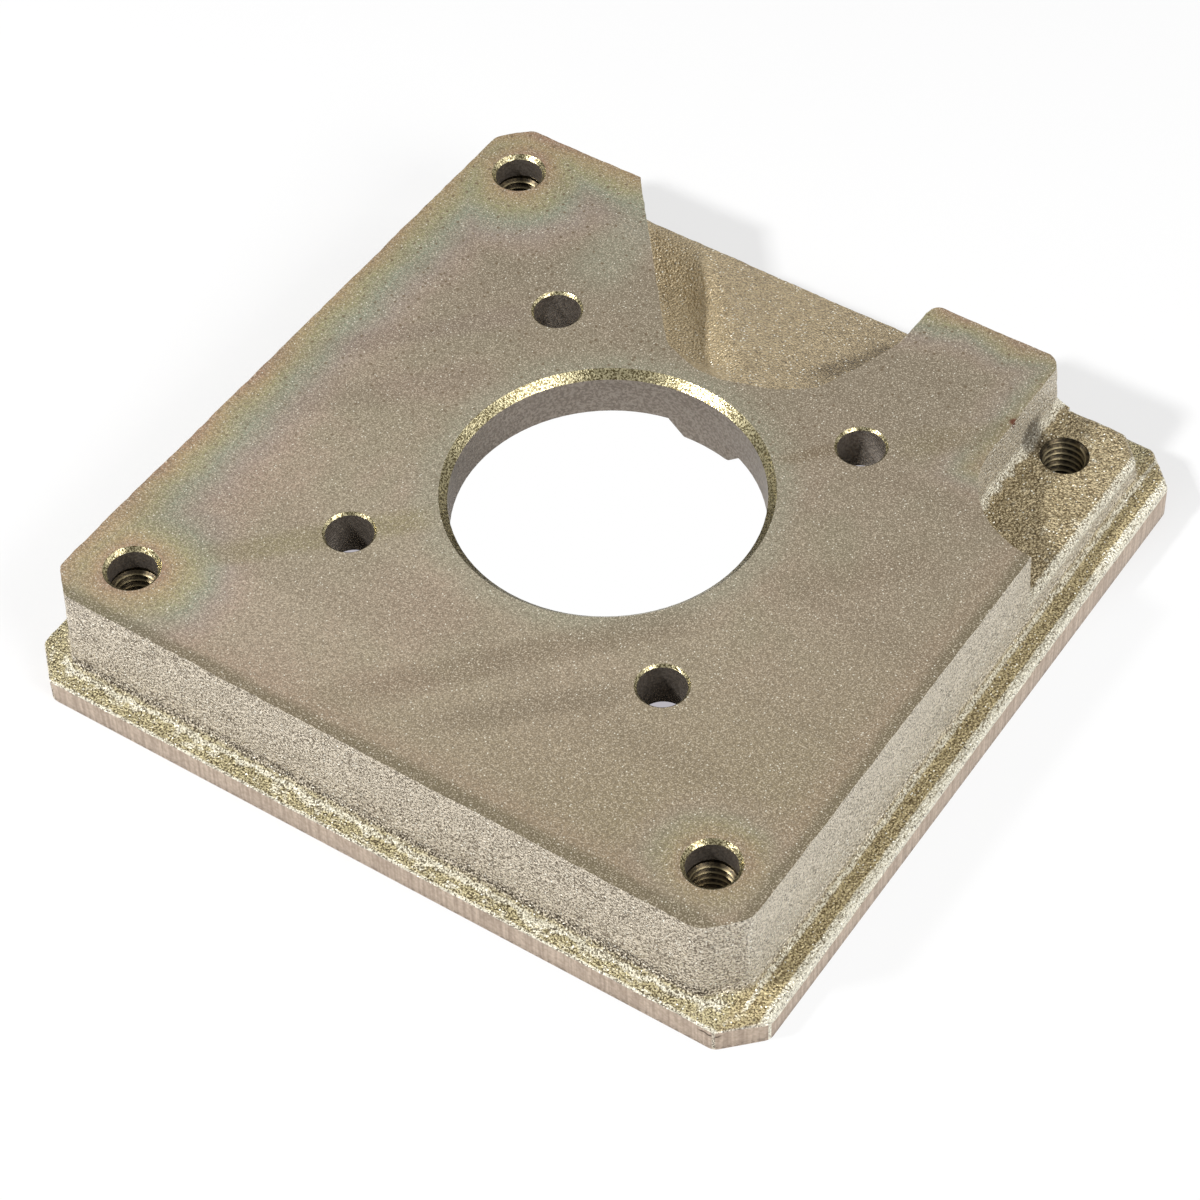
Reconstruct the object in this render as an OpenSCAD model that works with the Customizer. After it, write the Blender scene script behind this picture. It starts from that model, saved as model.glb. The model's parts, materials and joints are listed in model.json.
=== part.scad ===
// Brake mounting bracket: a one-piece casting, a square base with a raised square pad on it, milled on top,
// bored through the middle, tapped in its corners, with a stepped corner, a sloping cast pocket in one side
// and a hollow underside. The origin is on the bore's axis, on the bottom face. Units are millimetres.

/* [Raised pad] */
// From the tapped holes' axes to the pad's walls at its milled top
tapped_edge = 12; // [9:0.2:18]
// Height of the milled top above the bottom face
pad_top = 25.4; // [24:0.2:36]
// How far the left wall runs in towards its far end
pad_skew_left = 1.9; // [0:0.1:2.5]
// How far the near wall runs out towards the front corner
pad_skew_near = 1.1; // [0:0.1:2]
// How far the far wall runs in towards the stepped corner
pad_skew_far = 0.5; // [0:0.1:2]
// Flat cut across each corner of the pad
pad_corner = 5.4; // [3:0.2:7]
// Rounding at the ends of a corner cut
pad_blend = 2.5; // [1:0.5:5]
// Flat cut across the front corner, which was ground softest
soft_corner = 6.6; // [3:0.2:9]
// Rounding at the ends of the front corner's cut
soft_blend = 5; // [1:0.5:6]
// Outward lean of the cast walls for each millimetre down
pad_draft = 0.03; // [0:0.01:0.06]
// Fillet between the walls and the base
foot_r = 2.6; // [1:0.2:3.4]

/* [Base] */
// How much wider the base is than the pad, along X
base_lip_x = 10.6; // [9:0.2:30]
// How much wider the base is than the pad, along Y
base_lip_y = 9.6; // [9:0.2:30]
// Thickness of the base at its near sawn edge
base_t = 5.6; // [4:0.1:7]
// How much thicker the base is at its far edge
base_rise = 2.3; // [0:0.1:2.4]
// Flat cut across each corner of the base
base_corner = 7.2; // [4:0.2:8]
// Rounding of the base's upper outer edge
base_edge_r = 1.2; // [0.4:0.1:2]
// Offset of the base from the bore along X
base_shift_x = 1.4; // [-1.4:0.1:1.4]
// Offset of the base from the bore along Y
base_shift_y = -1.1; // [-1.2:0.1:1.2]

/* [Bore and web] */
// Diameter of the central bore
bore_d = 60.4; // [50:0.1:64]
// Chamfer at the top of the bore
bore_chamfer = 1.6; // [0.5:0.1:2.5]
// Thickness of the web around the bore
web_t = 10.2; // [8:0.2:11]

/* [Plain holes] */
// Spacing of the four plain holes, both ways
plain_pitch = 69.4; // [66:0.1:74]
// Diameter of the plain holes
plain_d = 9.3; // [6:0.1:10.5]
// Chamfer of the plain holes
plain_chamfer = 0.5; // [0.2:0.1:1]

/* [Tapped corner holes] */
// Spacing of the four tapped holes, both ways
tapped_pitch = 127; // [124:0.5:128]
// Drilled diameter under the thread
tapping_d = 8; // [6:0.1:8.6]
// Diameter of the smooth entry above the thread
entry_d = 9.5; // [9:0.1:11]
// Depth of the smooth entry
entry_depth = 5.1; // [2:0.1:9]
// Chamfer at the mouth of the smooth entry
entry_chamfer = 0.8; // [0.3:0.1:1.2]
// Chamfer at the mouth of the hole in the stepped corner
step_chamfer = 0.35; // [0.2:0.05:0.8]

/* [Stepped corner] */
// Depth of the step below the milled top
step_depth = 12.2; // [9:0.2:15]
// From the tapped hole's axis to the step's straight wall
step_wall = 7.5; // [6.5:0.1:10]
// From the tapped hole's axis to the far end of the step
step_reach = 36; // [26:0.5:40]
// Radius of the step's curved wall
step_r = 19.5; // [10:0.5:24]
// Fillet at the foot of the step's wall
step_fillet = 2.2; // [1:0.1:3]
// Rounding of the step's outer cast edge
step_edge_r = 1.7; // [1:0.1:3]

/* [Sloping pocket] */
// Depth of the pocket where it opens through the side
pocket_depth = 11.5; // [8:0.1:13]
// Land between the bore's chamfer and the top of the ramp
pocket_land = 2.9; // [2.5:0.1:8]
// Reach of the pocket's mouth to the left of the bore's axis
pocket_left = 42; // [36:0.5:44]
// Reach of the pocket's mouth to the right of the bore's axis
pocket_right = 27.3; // [24:0.1:30]
// Fillet along the pocket's floor
pocket_fillet = 2.5; // [1:0.1:3.5]

/* [Rounded uprights] */
// Rounding of the upright corner at the left of the pocket's mouth
left_tab_r = 1.6; // [1:0.2:3]
// Rounding of the upright corner at the right of the pocket's mouth
mid_tab_r = 3; // [1:0.2:4]
// Rounding of the upright corner beside the step
step_tab_r = 4.4; // [1:0.2:5]
// Share of these roundings that is left at the foot
upright_share = 0.5; // [0.4:0.1:1]

/* [Underside] */
// Thickness of the rim under the pad's walls
rim_t = 9.5; // [8:0.5:12]
// Radius of the hollow's corners
hollow_corner = 16; // [10:0.5:20]
// Fillet round the hollow's ceiling
hollow_fillet = 3; // [1:0.5:4]
// Radius of the solid posts round the tapped holes
post_r = 12; // [9:0.5:13]
// Wall kept around the stepped corner
step_cover = 8; // [6:0.5:10]
// How far the ramp's thick part hangs below the web at the bore
bulge_drop = 3.6; // [2:0.1:5]
// Reach of the thick part beside the bore, to the left of the bore's axis
bulge_in_left = 5; // [4:0.5:14]
// Reach of the thick part beside the bore, to the right of the bore's axis
bulge_in_right = 12; // [6:0.5:16]
// Fall of the thick part's underside for each millimetre outward
bulge_slope = 0.2; // [0.1:0.01:0.24]

/* [Hidden] */
$fn = 72;
part_colour = "#9a8f78";
clear = 1;                       // how far a cutter stands past the face that it cuts
lap = clear / 5;                 // how far a rounding's cutter starts outside the faces that it blends
arc_step = 15;                   // degrees between the points of a small rounding
arc_parts = 6;                   // parts of the arc that rounds an upright corner
hull_fn = 32;                    // facets of the round shapes inside a hull
quarter = 360 / 4;               // a right angle
half = quarter / 2;              // where a corner cut turns
pad_w = tapped_pitch + 2 * tapped_edge;
pad_half = pad_w / 2;
base_w = pad_w + base_lip_x;
base_d = pad_w + base_lip_y;
hole_at = tapped_pitch / 2;
step_z = pad_top - step_depth;
web_z = pad_top - web_t;
mouth_y = pad_half;
pocket_y = bore_d / 2 + bore_chamfer + pocket_land;
pocket_fall = pocket_depth / (mouth_y - pocket_y);
// Corners of the pocket's outline: shares of its reach to either side, and of its length to the mouth
pocket_outline = [[-1.19, 1.27], [-0.25, 0.08], [-0.07, 0], [0.07, 0], [0.46, 0.09], [0.71, 0.21],
                [0.85, 0.42], [0.98, 0.67], [1, 1.27]];
pocket_lean = 40;                  // the way that the pocket's left wall faces, in degrees from X
hollow_half = pad_half - rim_t;
bulge_y = bore_d / 2 - clear;
bulge_end = hollow_half + clear;
bulge_left = [bulge_in_left, pocket_left + rim_t / 2];     // reach at the bore and at the rim
bulge_right = [bulge_in_right, pocket_right + rim_t];

// The height of the pocket's floor at a place along Y
function pocket_z(y) = pad_top - pocket_fall * (y - pocket_y);

// The height of the thick part's underside at a place along Y
function bulge_z(y) = web_z - bulge_drop - bulge_slope * (y - bulge_y);

// One corner of a square outline: a 45 degree cut, rounded where it meets the sides
function corner_points(w, cut, r) =
    let (back = w - cut - r * tan(half / 2))
    concat([for (a = [0:arc_step:half]) [w - r + r * cos(a), back + r * sin(a)]],
           [for (a = [half:arc_step:quarter]) [back + r * cos(a), w - r + r * sin(a)]]);

function turned(p, a) = [p.x * cos(a) - p.y * sin(a), p.x * sin(a) + p.y * cos(a)];

// A square outline grown evenly by a margin, its corners cut and rounded; the last corner has its own sizes
function square_ring(w, cut, r, last_cut, last_r, grow) =
    [for (k = [0:3], p = corner_points(w + grow, (k == 3 ? last_cut : cut) + grow * (2 - sqrt(2)),
                                       (k == 3 ? last_r : r) + grow))
        turned(p, quarter * k)];

// A closed solid through a stack of outlines, each given as its height, its points and its share of the tilt
module stack(levels) {
    n = len(levels[0][1]);
    top = len(levels) - 1;
    points = [for (level = levels, p = level[1])
        [p.x, p.y, level[0] + level[2] * base_rise * (p.y + base_d / 2) / base_d]];
    sides = [for (i = [0:top - 1], j = [0:n - 1], upper = [false, true])
        let (a = i * n + j, b = i * n + (j + 1) % n)
        upper ? [a, a + n, b + n] : [a, b + n, b]];
    polyhedron(points, concat([[for (j = [0:n - 1]) j]], sides, [[for (j = [n - 1:-1:0]) top * n + j]]));
}

// The pad's walls are not quite square to one another
function skewed(p) =
    let (u = (pad_half - p.x) / pad_w, v = (pad_half + p.y) / pad_w)
    [p.x + pad_skew_left * u * v, p.y - (1 - u) * (pad_skew_near * (1 - v) + pad_skew_far * v)];

// Where the far wall's top edge stands at a place along X
function far_wall(x) = skewed([x, pad_half]).y;

function pad_ring(z, grow, tilt = 0) =
    [z, [for (p = square_ring(pad_half, pad_corner, pad_blend, soft_corner, soft_blend,
                              grow + pad_draft * (pad_top - z)))
        skewed(p)], tilt];

function base_ring(z, grow, tilt) =
    let (wider = (base_w - base_d) / 2, r = 2 * base_edge_r)
    [z, [for (p = square_ring(base_d / 2, base_corner, r, base_corner, r, grow))
        [p.x + wider * sign(p.x), p.y]], tilt];

// The raised pad: drafted walls that flare into the base through a fillet
module pad() {
    foot = [for (a = [0:arc_step:quarter])
        pad_ring(base_t + foot_r * (1 - cos(a)), foot_r * (1 - sin(a)), 1)];
    stack(concat([pad_ring(base_t - clear, foot_r)], foot, [pad_ring(pad_top, 0)]));
}

// The base: sawn sides and a rounded upper edge
module base() {
    edge = [for (a = [0:arc_step * 2:quarter])
        base_ring(base_t - base_edge_r * (1 - sin(a)), -base_edge_r * (1 - cos(a)), 1)];
    translate([base_shift_x, base_shift_y, 0]) stack(concat([base_ring(0, 0, 0)], edge));
}

// A disc whose lower edge is rounded, the tool shape of the cast hollows
module soft_disc(r, edge_r, h) {
    rotate_extrude($fn = hull_fn * 2) polygon(concat(
        [[0, 0]],
        [for (a = [-quarter:arc_step * 2:0]) [r - edge_r + edge_r * cos(a), edge_r + edge_r * sin(a)]],
        [[r, h], [0, h]]));
}

// The space over the stepped corner, or the block kept around it when it is grown
module step_space(bottom, grow, edge_r, h) {
    r = step_r + grow;
    near = hole_at - step_wall + step_r;
    low = hole_at - step_reach + step_r;
    far = base_w;
    hull() for (x = [near, far], y = [low, far])
        translate([x, y, bottom]) soft_disc(r, edge_r, h);
}

// What the sand mould rounds off the step's outer edge
module step_edge() {
    low = hole_at - step_reach + step_fillet + clear;
    left = hole_at - step_wall + step_fillet;
    rounded = [for (a = [0:arc_step * 2:quarter])
        pad_ring(step_z - step_edge_r * (1 - sin(a)), lap - step_edge_r * (1 - cos(a)))];
    difference() {
        translate([left, low, step_z - step_edge_r])
            cube([base_w, base_w, step_edge_r + clear]);
        stack(concat([pad_ring(step_z - step_edge_r - clear, clear)], rounded));
    }
}

// The cast pocket: a floor that falls from the bore's land to the side, with rounded foot and corners
module pocket_space() {
    r = pocket_fillet;
    plan = [for (p = pocket_outline)
        [p.x * ((p.x < 0 ? pocket_left : pocket_right) - r), pocket_y + r + p.y * (mouth_y - pocket_y - r)]];
    hull() for (p = plan) {
        translate([p.x, p.y, pocket_z(p.y) + r]) sphere(r, $fn = hull_fn);
        translate([p.x, p.y, pad_top + r]) cylinder(h = clear, r = r, $fn = hull_fn);
    }
}

// What rounds an upright corner off, down to a floor with a fillet round its foot; the corner stands at x
// where the pad's side is at y, and the wall that meets it there faces the given way
module upright_round(x, y, r, facing, floor_z, fillet) {
    far = r + foot_r + clear;
    fall = pad_top - floor_z;
    stack([for (a = [0:arc_step:quarter + arc_step])
        let (over = a > quarter,
             z = over ? pad_top + far : floor_z + lap + fillet * (1 - cos(a)),
             own = r * (upright_share + (1 - upright_share) * (z - floor_z) / fall),
             out = own + (over ? 0 : fillet * (1 - sin(a))),
             turn = (quarter - facing) / arc_parts,
             at = [x + lap - own * (1 - sin(facing)) / cos(facing),
                   y + lap - own + pad_draft * (pad_top - z)])
        [z, concat([for (k = [arc_parts:-1:0]) at + out * turned([1, 0], facing + turn * k)],
                   [at + (out + far) * turned([1, 0], facing), at + [0, out + far]]), 0]]);
}

// The three upright corners that stand at the pocket's mouth and beside the step
module uprights() {
    mouth_z = pad_top - pocket_depth;
    step_x = hole_at - step_wall;
    multmatrix([[1, 0, 0, 0], [0, 1, 0, 0], [0, -pocket_fall, 1, pocket_fall * mouth_y], [0, 0, 0, 1]]) {
        upright_round(-pocket_left, far_wall(-pocket_left), left_tab_r, pocket_lean, mouth_z, pocket_fillet);
        mirror([1, 0, 0])
            upright_round(-pocket_right, far_wall(pocket_right), mid_tab_r, 0, mouth_z, pocket_fillet);
    }
    upright_round(step_x, far_wall(step_x), step_tab_r, 0, step_z, step_fillet);
}

// The thick part that carries the ramp under the web
module bulge() {
    ys = [bulge_y, bulge_end];
    hull() for (i = [0:1]) {
        translate([-bulge_left[i], ys[i], web_z - clear / 10])
            cube([bulge_left[i] + bulge_right[i], clear, clear]);
        translate([bulge_drop - bulge_left[i], ys[i], bulge_z(ys[i])])
            cube([bulge_left[i] + bulge_right[i] - 2 * bulge_drop, clear, clear]);
    }
}

// The hollow under the web, less the posts, the step's block and the ramp's thick part
module hollow() {
    at = hollow_half - hollow_corner;
    difference() {
        mirror([0, 0, 1]) hull() for (x = [-at, at], y = [-at, at])
            translate([x, y, -web_z]) soft_disc(hollow_corner, hollow_fillet, web_z + clear);
        for (x = [-hole_at, hole_at], y = [-hole_at, hole_at])
            translate([x, y, -2 * clear]) cylinder(h = pad_top, r = post_r);
        step_space(-2 * clear, step_cover, clear, pad_top);
        bulge();
    }
}

// A hole between two levels, with a chamfer at its upper mouth
module drilled(d, low, high, chamfer) {
    translate([0, 0, low]) cylinder(h = high - low + clear, d = d);
    translate([0, 0, high - chamfer]) cylinder(h = 2 * chamfer, r1 = d / 2, r2 = d / 2 + 2 * chamfer);
}

module holes() {
    drilled(bore_d, -clear, pad_top, bore_chamfer);
    for (x = [-1, 1], y = [-1, 1]) {
        translate([x * plain_pitch / 2, y * plain_pitch / 2, 0])
            drilled(plain_d, -clear, pad_top, plain_chamfer);
        stepped = x > 0 && y > 0;
        translate([x * hole_at, y * hole_at, 0]) {
            drilled(tapping_d, -clear, stepped ? step_z : pad_top, step_chamfer);
            if (!stepped) drilled(entry_d, pad_top - entry_depth, pad_top, entry_chamfer);
        }
    }
}

module mounting_bracket() {
    color(part_colour) difference() {
        union() {
            base();
            pad();
        }
        step_space(step_z, 0, step_fillet, pad_top);
        step_edge();
        pocket_space();
        uprights();
        hollow();
        holes();
    }
}

mounting_bracket();
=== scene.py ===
import json
from math import cos, exp, hypot, pi, radians, sin

import bmesh
import bpy
from mathutils import Matrix, Vector, noise


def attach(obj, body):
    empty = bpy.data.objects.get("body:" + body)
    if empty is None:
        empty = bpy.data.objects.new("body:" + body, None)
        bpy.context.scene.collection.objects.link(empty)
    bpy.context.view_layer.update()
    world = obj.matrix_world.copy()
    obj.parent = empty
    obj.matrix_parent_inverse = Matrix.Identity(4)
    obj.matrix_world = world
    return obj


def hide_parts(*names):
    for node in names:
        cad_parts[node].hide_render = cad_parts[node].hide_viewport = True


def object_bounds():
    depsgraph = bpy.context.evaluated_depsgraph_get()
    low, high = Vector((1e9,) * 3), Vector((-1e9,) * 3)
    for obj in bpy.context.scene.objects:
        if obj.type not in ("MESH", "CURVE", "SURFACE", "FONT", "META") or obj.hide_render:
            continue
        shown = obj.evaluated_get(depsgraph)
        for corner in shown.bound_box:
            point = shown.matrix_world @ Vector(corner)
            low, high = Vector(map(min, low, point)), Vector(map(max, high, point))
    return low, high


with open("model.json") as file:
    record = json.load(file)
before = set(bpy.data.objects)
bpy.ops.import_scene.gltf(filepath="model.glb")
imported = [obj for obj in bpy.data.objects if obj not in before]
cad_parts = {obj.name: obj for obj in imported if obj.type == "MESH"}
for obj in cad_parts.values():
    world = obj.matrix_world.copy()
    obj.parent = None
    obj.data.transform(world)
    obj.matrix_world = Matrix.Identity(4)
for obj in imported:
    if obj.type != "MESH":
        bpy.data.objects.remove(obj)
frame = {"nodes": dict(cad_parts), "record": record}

cadLow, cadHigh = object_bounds()
mm = 0.001
scene = bpy.context.scene
scene.view_settings.view_transform = "Standard"


def feed(tree, socket, value):      # a link from another node, or a plain value
    if isinstance(value, bpy.types.NodeSocket):
        tree.links.new(value, socket)
    else:
        socket.default_value = value


def addNode(tree, kind, inputs=None, **settings):
    node = tree.nodes.new(kind)
    for name, value in settings.items():
        setattr(node, name, value)
    for name, value in (inputs or {}).items():
        feed(tree, node.inputs[name], value)
    return node


def calc(tree, operation, a, b=0.0, clamp=False):
    return addNode(tree, "ShaderNodeMath", {0: a, 1: b}, operation=operation, use_clamp=clamp).outputs[0]


def plus(tree, a, b):
    return calc(tree, "ADD", a, b)


def minus(tree, a, b):
    return calc(tree, "SUBTRACT", a, b)


def times(tree, a, b):
    return calc(tree, "MULTIPLY", a, b)


def larger(tree, a, b):
    return calc(tree, "MAXIMUM", a, b)


def smaller(tree, a, b):
    return calc(tree, "MINIMUM", a, b)


def unsigned(tree, a):
    return calc(tree, "ABSOLUTE", a)


def ranged(tree, value, low, high, toLow=0.0, toHigh=1.0):
    return addNode(tree, "ShaderNodeMapRange",
                   {"Value": value, "From Min": low, "From Max": high, "To Min": toLow, "To Max": toHigh},
                   interpolation_type="SMOOTHSTEP").outputs[0]


def grade(tree, length, low, high, toLow=0.0, toHigh=1.0):      # ranged between two lengths in mm
    return ranged(tree, length, low * mm, high * mm, toLow, toHigh)


def ridge(tree, length, start, full, fall, end):      # 1 between two lengths in mm, eased to 0 beyond them
    return times(tree, grade(tree, length, start, full), grade(tree, length, fall, end, 1, 0))


def mixed(tree, share, a, b):
    return addNode(tree, "ShaderNodeMix", {0: share, 6: a, 7: b}, data_type="RGBA", clamp_factor=True).outputs[2]


def rgb(r, g, b):      # display values 0 to 255 as linear light
    def linear(v):
        v /= 255
        return v / 12.92 if v <= 0.04045 else ((v + 0.055) / 1.055) ** 2.4
    return (linear(r), linear(g), linear(b), 1)


def tint(tree, colour, shade, share):      # lays a share of a shade over a colour
    return mixed(tree, share, colour, rgb(*shade))


def place(tree, scale=(1, 1, 1), turn=0.0, move=(0, 0, 0)):
    coords = addNode(tree, "ShaderNodeTexCoord")
    return addNode(tree, "ShaderNodeMapping", {"Vector": coords.outputs["Object"], "Location": move,
                                               "Rotation": (0, 0, turn), "Scale": scale}).outputs[0]


def axesOf(tree, vector):
    return addNode(tree, "ShaderNodeSeparateXYZ", {"Vector": vector}).outputs


def fromAxis(tree, x, y):
    return calc(tree, "SQRT", plus(tree, times(tree, x, x), times(tree, y, y)))


def fromPoint(tree, vector, point):      # the point is in mm
    return addNode(tree, "ShaderNodeVectorMath", {0: vector, 1: [v * mm for v in point]},
                   operation="DISTANCE").outputs["Value"]


def noisy(tree, vector, scale, detail=2.0, rough=0.5, twist=0.0):
    return addNode(tree, "ShaderNodeTexNoise", {"Vector": vector, "Scale": scale, "Detail": detail,
                                                "Roughness": rough, "Distortion": twist}).outputs["Fac"]


# small round spots in some cells of a Voronoi pattern, picked by one channel of the cell's own colour
def dots(tree, vector, spot):
    cells = addNode(tree, "ShaderNodeTexVoronoi", {"Vector": vector, "Scale": spot["scale"]})
    spots = ranged(tree, cells.outputs["Distance"], spot["size"], spot["size"] + spot["soft"], 1, 0)
    channels = addNode(tree, "ShaderNodeSeparateColor", {"Color": cells.outputs["Color"]}).outputs
    return times(tree, spots, ranged(tree, channels[spot["channel"]], *spot["picked"]))


def newMaterial(name):
    material = bpy.data.materials.new(name)
    material.use_nodes = True
    tree = material.node_tree
    return material, tree, tree.nodes["Principled BSDF"]


def coat(tree, shader, colour, metallic, roughness):
    feed(tree, shader.inputs["Base Color"], colour)
    feed(tree, shader.inputs["Metallic"], metallic)
    feed(tree, shader.inputs["Roughness"], roughness)


def setBump(tree, shader, height, strength, distance):
    bump = addNode(tree, "ShaderNodeBump", {"Height": height, "Strength": strength, "Distance": distance * mm})
    tree.links.new(bump.outputs[0], shader.inputs["Normal"])


mounts = {mount["name"]: mount["dims"] for mount in frame["record"]["mounts"]}
casting = {      # mm, and degrees
    "topLevel": round(cadHigh[2] / mm, 2),
    "baseMiddle": [round((low + high) / 2 / mm, 2) for low, high in zip(cadLow, cadHigh)][:2],
    "baseHalf": [round((high - low) / 2 / mm, 2) for low, high in zip(cadLow, cadHigh)][:2],
    "boreRadius": mounts["centre_bore"]["r_mm"],
    "plainAt": mounts["plain_pattern"]["spacing_x_mm"] / 2,
    "tappedAt": mounts["tapped_pattern"]["spacing_x_mm"] / 2,
    "padHalf": 75.5, "baseCut": 7.2, "baseTop": 5.6, "sharpAngle": 50,
    "chipAt": (56.0, 55.6, 24.6), "smudgeAt": (57.5, 63.4, 15.6), "nickAt": (12.8, -27.6, 25.0),
    "opened": {"within": 4.45, "radius": 4.85},      # the tapped holes, so that the threads have room
    "hollow": {"wall": 9, "inset": 12, "top": 12.9},
    "pocket": {"lean": 40, "wallAt": 16.4, "deeper": 5.0, "left": -44, "right": 30, "start": 30, "end": 75.4,
               "above": 13.5, "margin": 2, "fades": (5, 15), "fadesOut": (60, 75), "shallow": 2.5},
    "slot": {"ceiling": 14.2, "down": 13.0, "left": 40, "near": 22, "inset": 3, "within": 0.05},
    # where the painted shade lies on the pocket's right wall
    "paintedShadeBand": {"turn": 68, "at": -4.4, "width": 3.4, "start": 46, "end": 76},
    "edge": {"radius": 1.2, "above": 0.05, "below": 0.1, "blend": 1.5,
             "shares": {"left": 0.6, "near": 0.35, "right": 1.6, "far": 1.0, "corner": 0.7}},
    # squares of the cast skin, where the first cut lies in one, and close cuts along the base's edges
    "skin": {"step": 0.9, "start": 0.53, "low": (0.15, 0.32, 0.8, 1.1), "high": (0.15, 0.35, 0.65, 1.0, 1.5)},
    # how far the faces that belong to a hole reach from its axis, and the levels between which they lie
    "zones": {"chamfer": 1.75, "boreAbove": 7, "plainReach": 5.3, "plainAbove": 15.4, "tappedReach": 5.6,
              "stepBelow": 15, "sideBelow": 9, "sideInset": 0.08, "touch": 0.02, "upright": 0.3, "flat": 0.99},
    # three sizes of waves, and how far each moves the skin on its faces, on the pad's edge and on the base's edge
    "sand": {"waves": ((9, (0, 0, 0)), (2.4, (7, 3, 1)), (1.1, (2, 9, 4))), "face": (0.10, 0.10, 0.09),
             "faceIn": 0.03, "padEdge": (0.12, 0.13, 0.08), "padEdgeIn": 0.04, "baseEdge": (0, 0.16, 0.1),
             "lipMore": 1.5, "lipInset": 4, "lipBelow": 9},
}


milled = {
    "ground": (190, 174, 153), "warm": (194, 173, 152), "olive": (182, 172, 146), "front": (162, 148, 118),
    "streak": (132, 118, 98), "pale": (236, 222, 198), "pit": (124, 106, 82), "paintedGlint": (255, 250, 232),
    "teal": (168, 172, 150), "rim": (112, 106, 80), "blush": (176, 150, 128), "far": (140, 130, 110),
    # the film's colours from the edge inwards, as shares of its width in mm
    "filmWidth": 22,
    "film": [(0.0, (186, 146, 118)), (0.10, (196, 170, 122)), (0.24, (182, 180, 132)), (0.40, (164, 176, 154)),
             (0.60, (182, 168, 160)), (0.80, (198, 172, 158)), (1.0, (196, 180, 156))],
    # place across the diagonal, width, from and to along it (mm), drift across it, amount and colour
    "streaks": [(0, 3.6, -88, -30, 0, 0.5, (160, 152, 106)), (0, 1.8, 30, 47, 0, 0.5, (126, 106, 76)),
                (-2, 4.0, 50, 86, 0, 0.45, (140, 128, 92)), (-35, 4.2, -72, 14, -0.07, 0.42, (128, 110, 88)),
                (-49, 3.6, -50, -3, 0, 0.42, (126, 112, 92)), (49, 3.4, -58, -3, 0, 0.35, (142, 122, 114)),
                (35, 4.5, -70, -12, 0, 0.28, (148, 128, 116)), (-31, 5.0, 20, 58, 0, 0.3, (138, 122, 100))],
    "wobble": 7, "cornerIn": 5.5, "holeIn": 5.0, "boreIn": 30, "tabX": 58, "tabY": 44,
    "pits": {"scale": 640, "size": 0.10, "soft": 0.20, "channel": 0, "picked": (0.35, 0.6)},
    # bright dots of painted glints
    "paintedSparks": {"scale": 1700, "size": 0.14, "soft": 0.16, "channel": 0, "picked": (0.86, 0.9)},
    "arcCentre": (0.06, 0.075, 0), "arcScale": 300, "roughness": 0.40, "metallic": 0.8,
}


# a soft band along the diagonal on which the casting hung in the bath
def streak(tree, along, across, at, width, start, end):
    band = grade(tree, unsigned(tree, minus(tree, across, at * mm)), 0.3 * width, 1.2 * width, 1, 0)
    fade = (end - start) * 0.35
    band = times(tree, band, grade(tree, along, start, start + fade))
    return times(tree, band, grade(tree, along, end - fade * 0.4, end, 1, 0))


# the plating's film changes colour with the distance from the left and far edges and the tapped holes
def filmDepth(tree, x, y, wobble):
    half, at = casting["padHalf"] * mm, casting["tappedAt"] * mm
    fromLeft, fromFar = plus(tree, x, half), minus(tree, half, y)
    corner = times(tree, minus(tree, plus(tree, fromLeft, fromFar), milled["cornerIn"] * mm), 0.7)
    edge = smaller(tree, smaller(tree, fromLeft, fromFar), corner)
    tab = larger(tree, minus(tree, milled["tabX"] * mm, x), minus(tree, milled["tabY"] * mm, y))
    hole = fromAxis(tree, minus(tree, unsigned(tree, x), at), minus(tree, unsigned(tree, y), at))
    hole = minus(tree, hole, milled["holeIn"] * mm)
    depth = plus(tree, smaller(tree, smaller(tree, edge, tab), hole), wobble)
    return times(tree, depth, grade(tree, x, 15, 40, 1, 1.7))


def filmColour(tree, depth):
    share = calc(tree, "DIVIDE", depth, milled["filmWidth"] * mm, clamp=True)
    ramp = addNode(tree, "ShaderNodeValToRGB", {"Fac": share})
    stops = ramp.color_ramp.elements
    stops[0].color, stops[1].color = rgb(*milled["film"][0][1]), rgb(*milled["film"][-1][1])
    for at, shade in milled["film"][1:-1]:
        stops.new(at).color = rgb(*shade)
    return ramp.outputs[0]


# thin olive lines along the near and right edges, and along the pocket's left edge
def edgeLines(tree, colour, x, y, wobble):
    half = casting["padHalf"] * mm
    rim = plus(tree, smaller(tree, minus(tree, half, x), plus(tree, half, y)), times(tree, wobble, 0.25))
    colour = tint(tree, colour, milled["blush"], grade(tree, rim, 3.2, 9, 0.35, 0))
    colour = tint(tree, colour, milled["rim"], grade(tree, rim, 1.0, 3.4, 0.7, 0))
    pocketEdge = grade(tree, unsigned(tree, plus(tree, x, 34 * mm)), 2, 9, 0.55, 0)
    return tint(tree, colour, milled["teal"], times(tree, pocketEdge, grade(tree, y, 38, 50)))


# runs of the bath along the diagonal, most of them from the holes
def bathRuns(tree, colour, wobble):
    along, across = axesOf(tree, place(tree, (1, 1, 1), -pi / 4))[:2]
    across = plus(tree, across, times(tree, wobble, 0.35))
    for at, width, start, end, drift, amount, shade in milled["streaks"]:
        drifted = plus(tree, across, times(tree, along, drift)) if drift else across
        band = streak(tree, along, drifted, at, width, start, end)
        colour = tint(tree, colour, shade, times(tree, band, amount))
    run = noisy(tree, place(tree, (9, 85, 1), -pi / 4), 1, 1, 0.5, 0.5)
    return tint(tree, colour, milled["streak"], ranged(tree, run, 0.5, 0.72, 0, 0.22))


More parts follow.
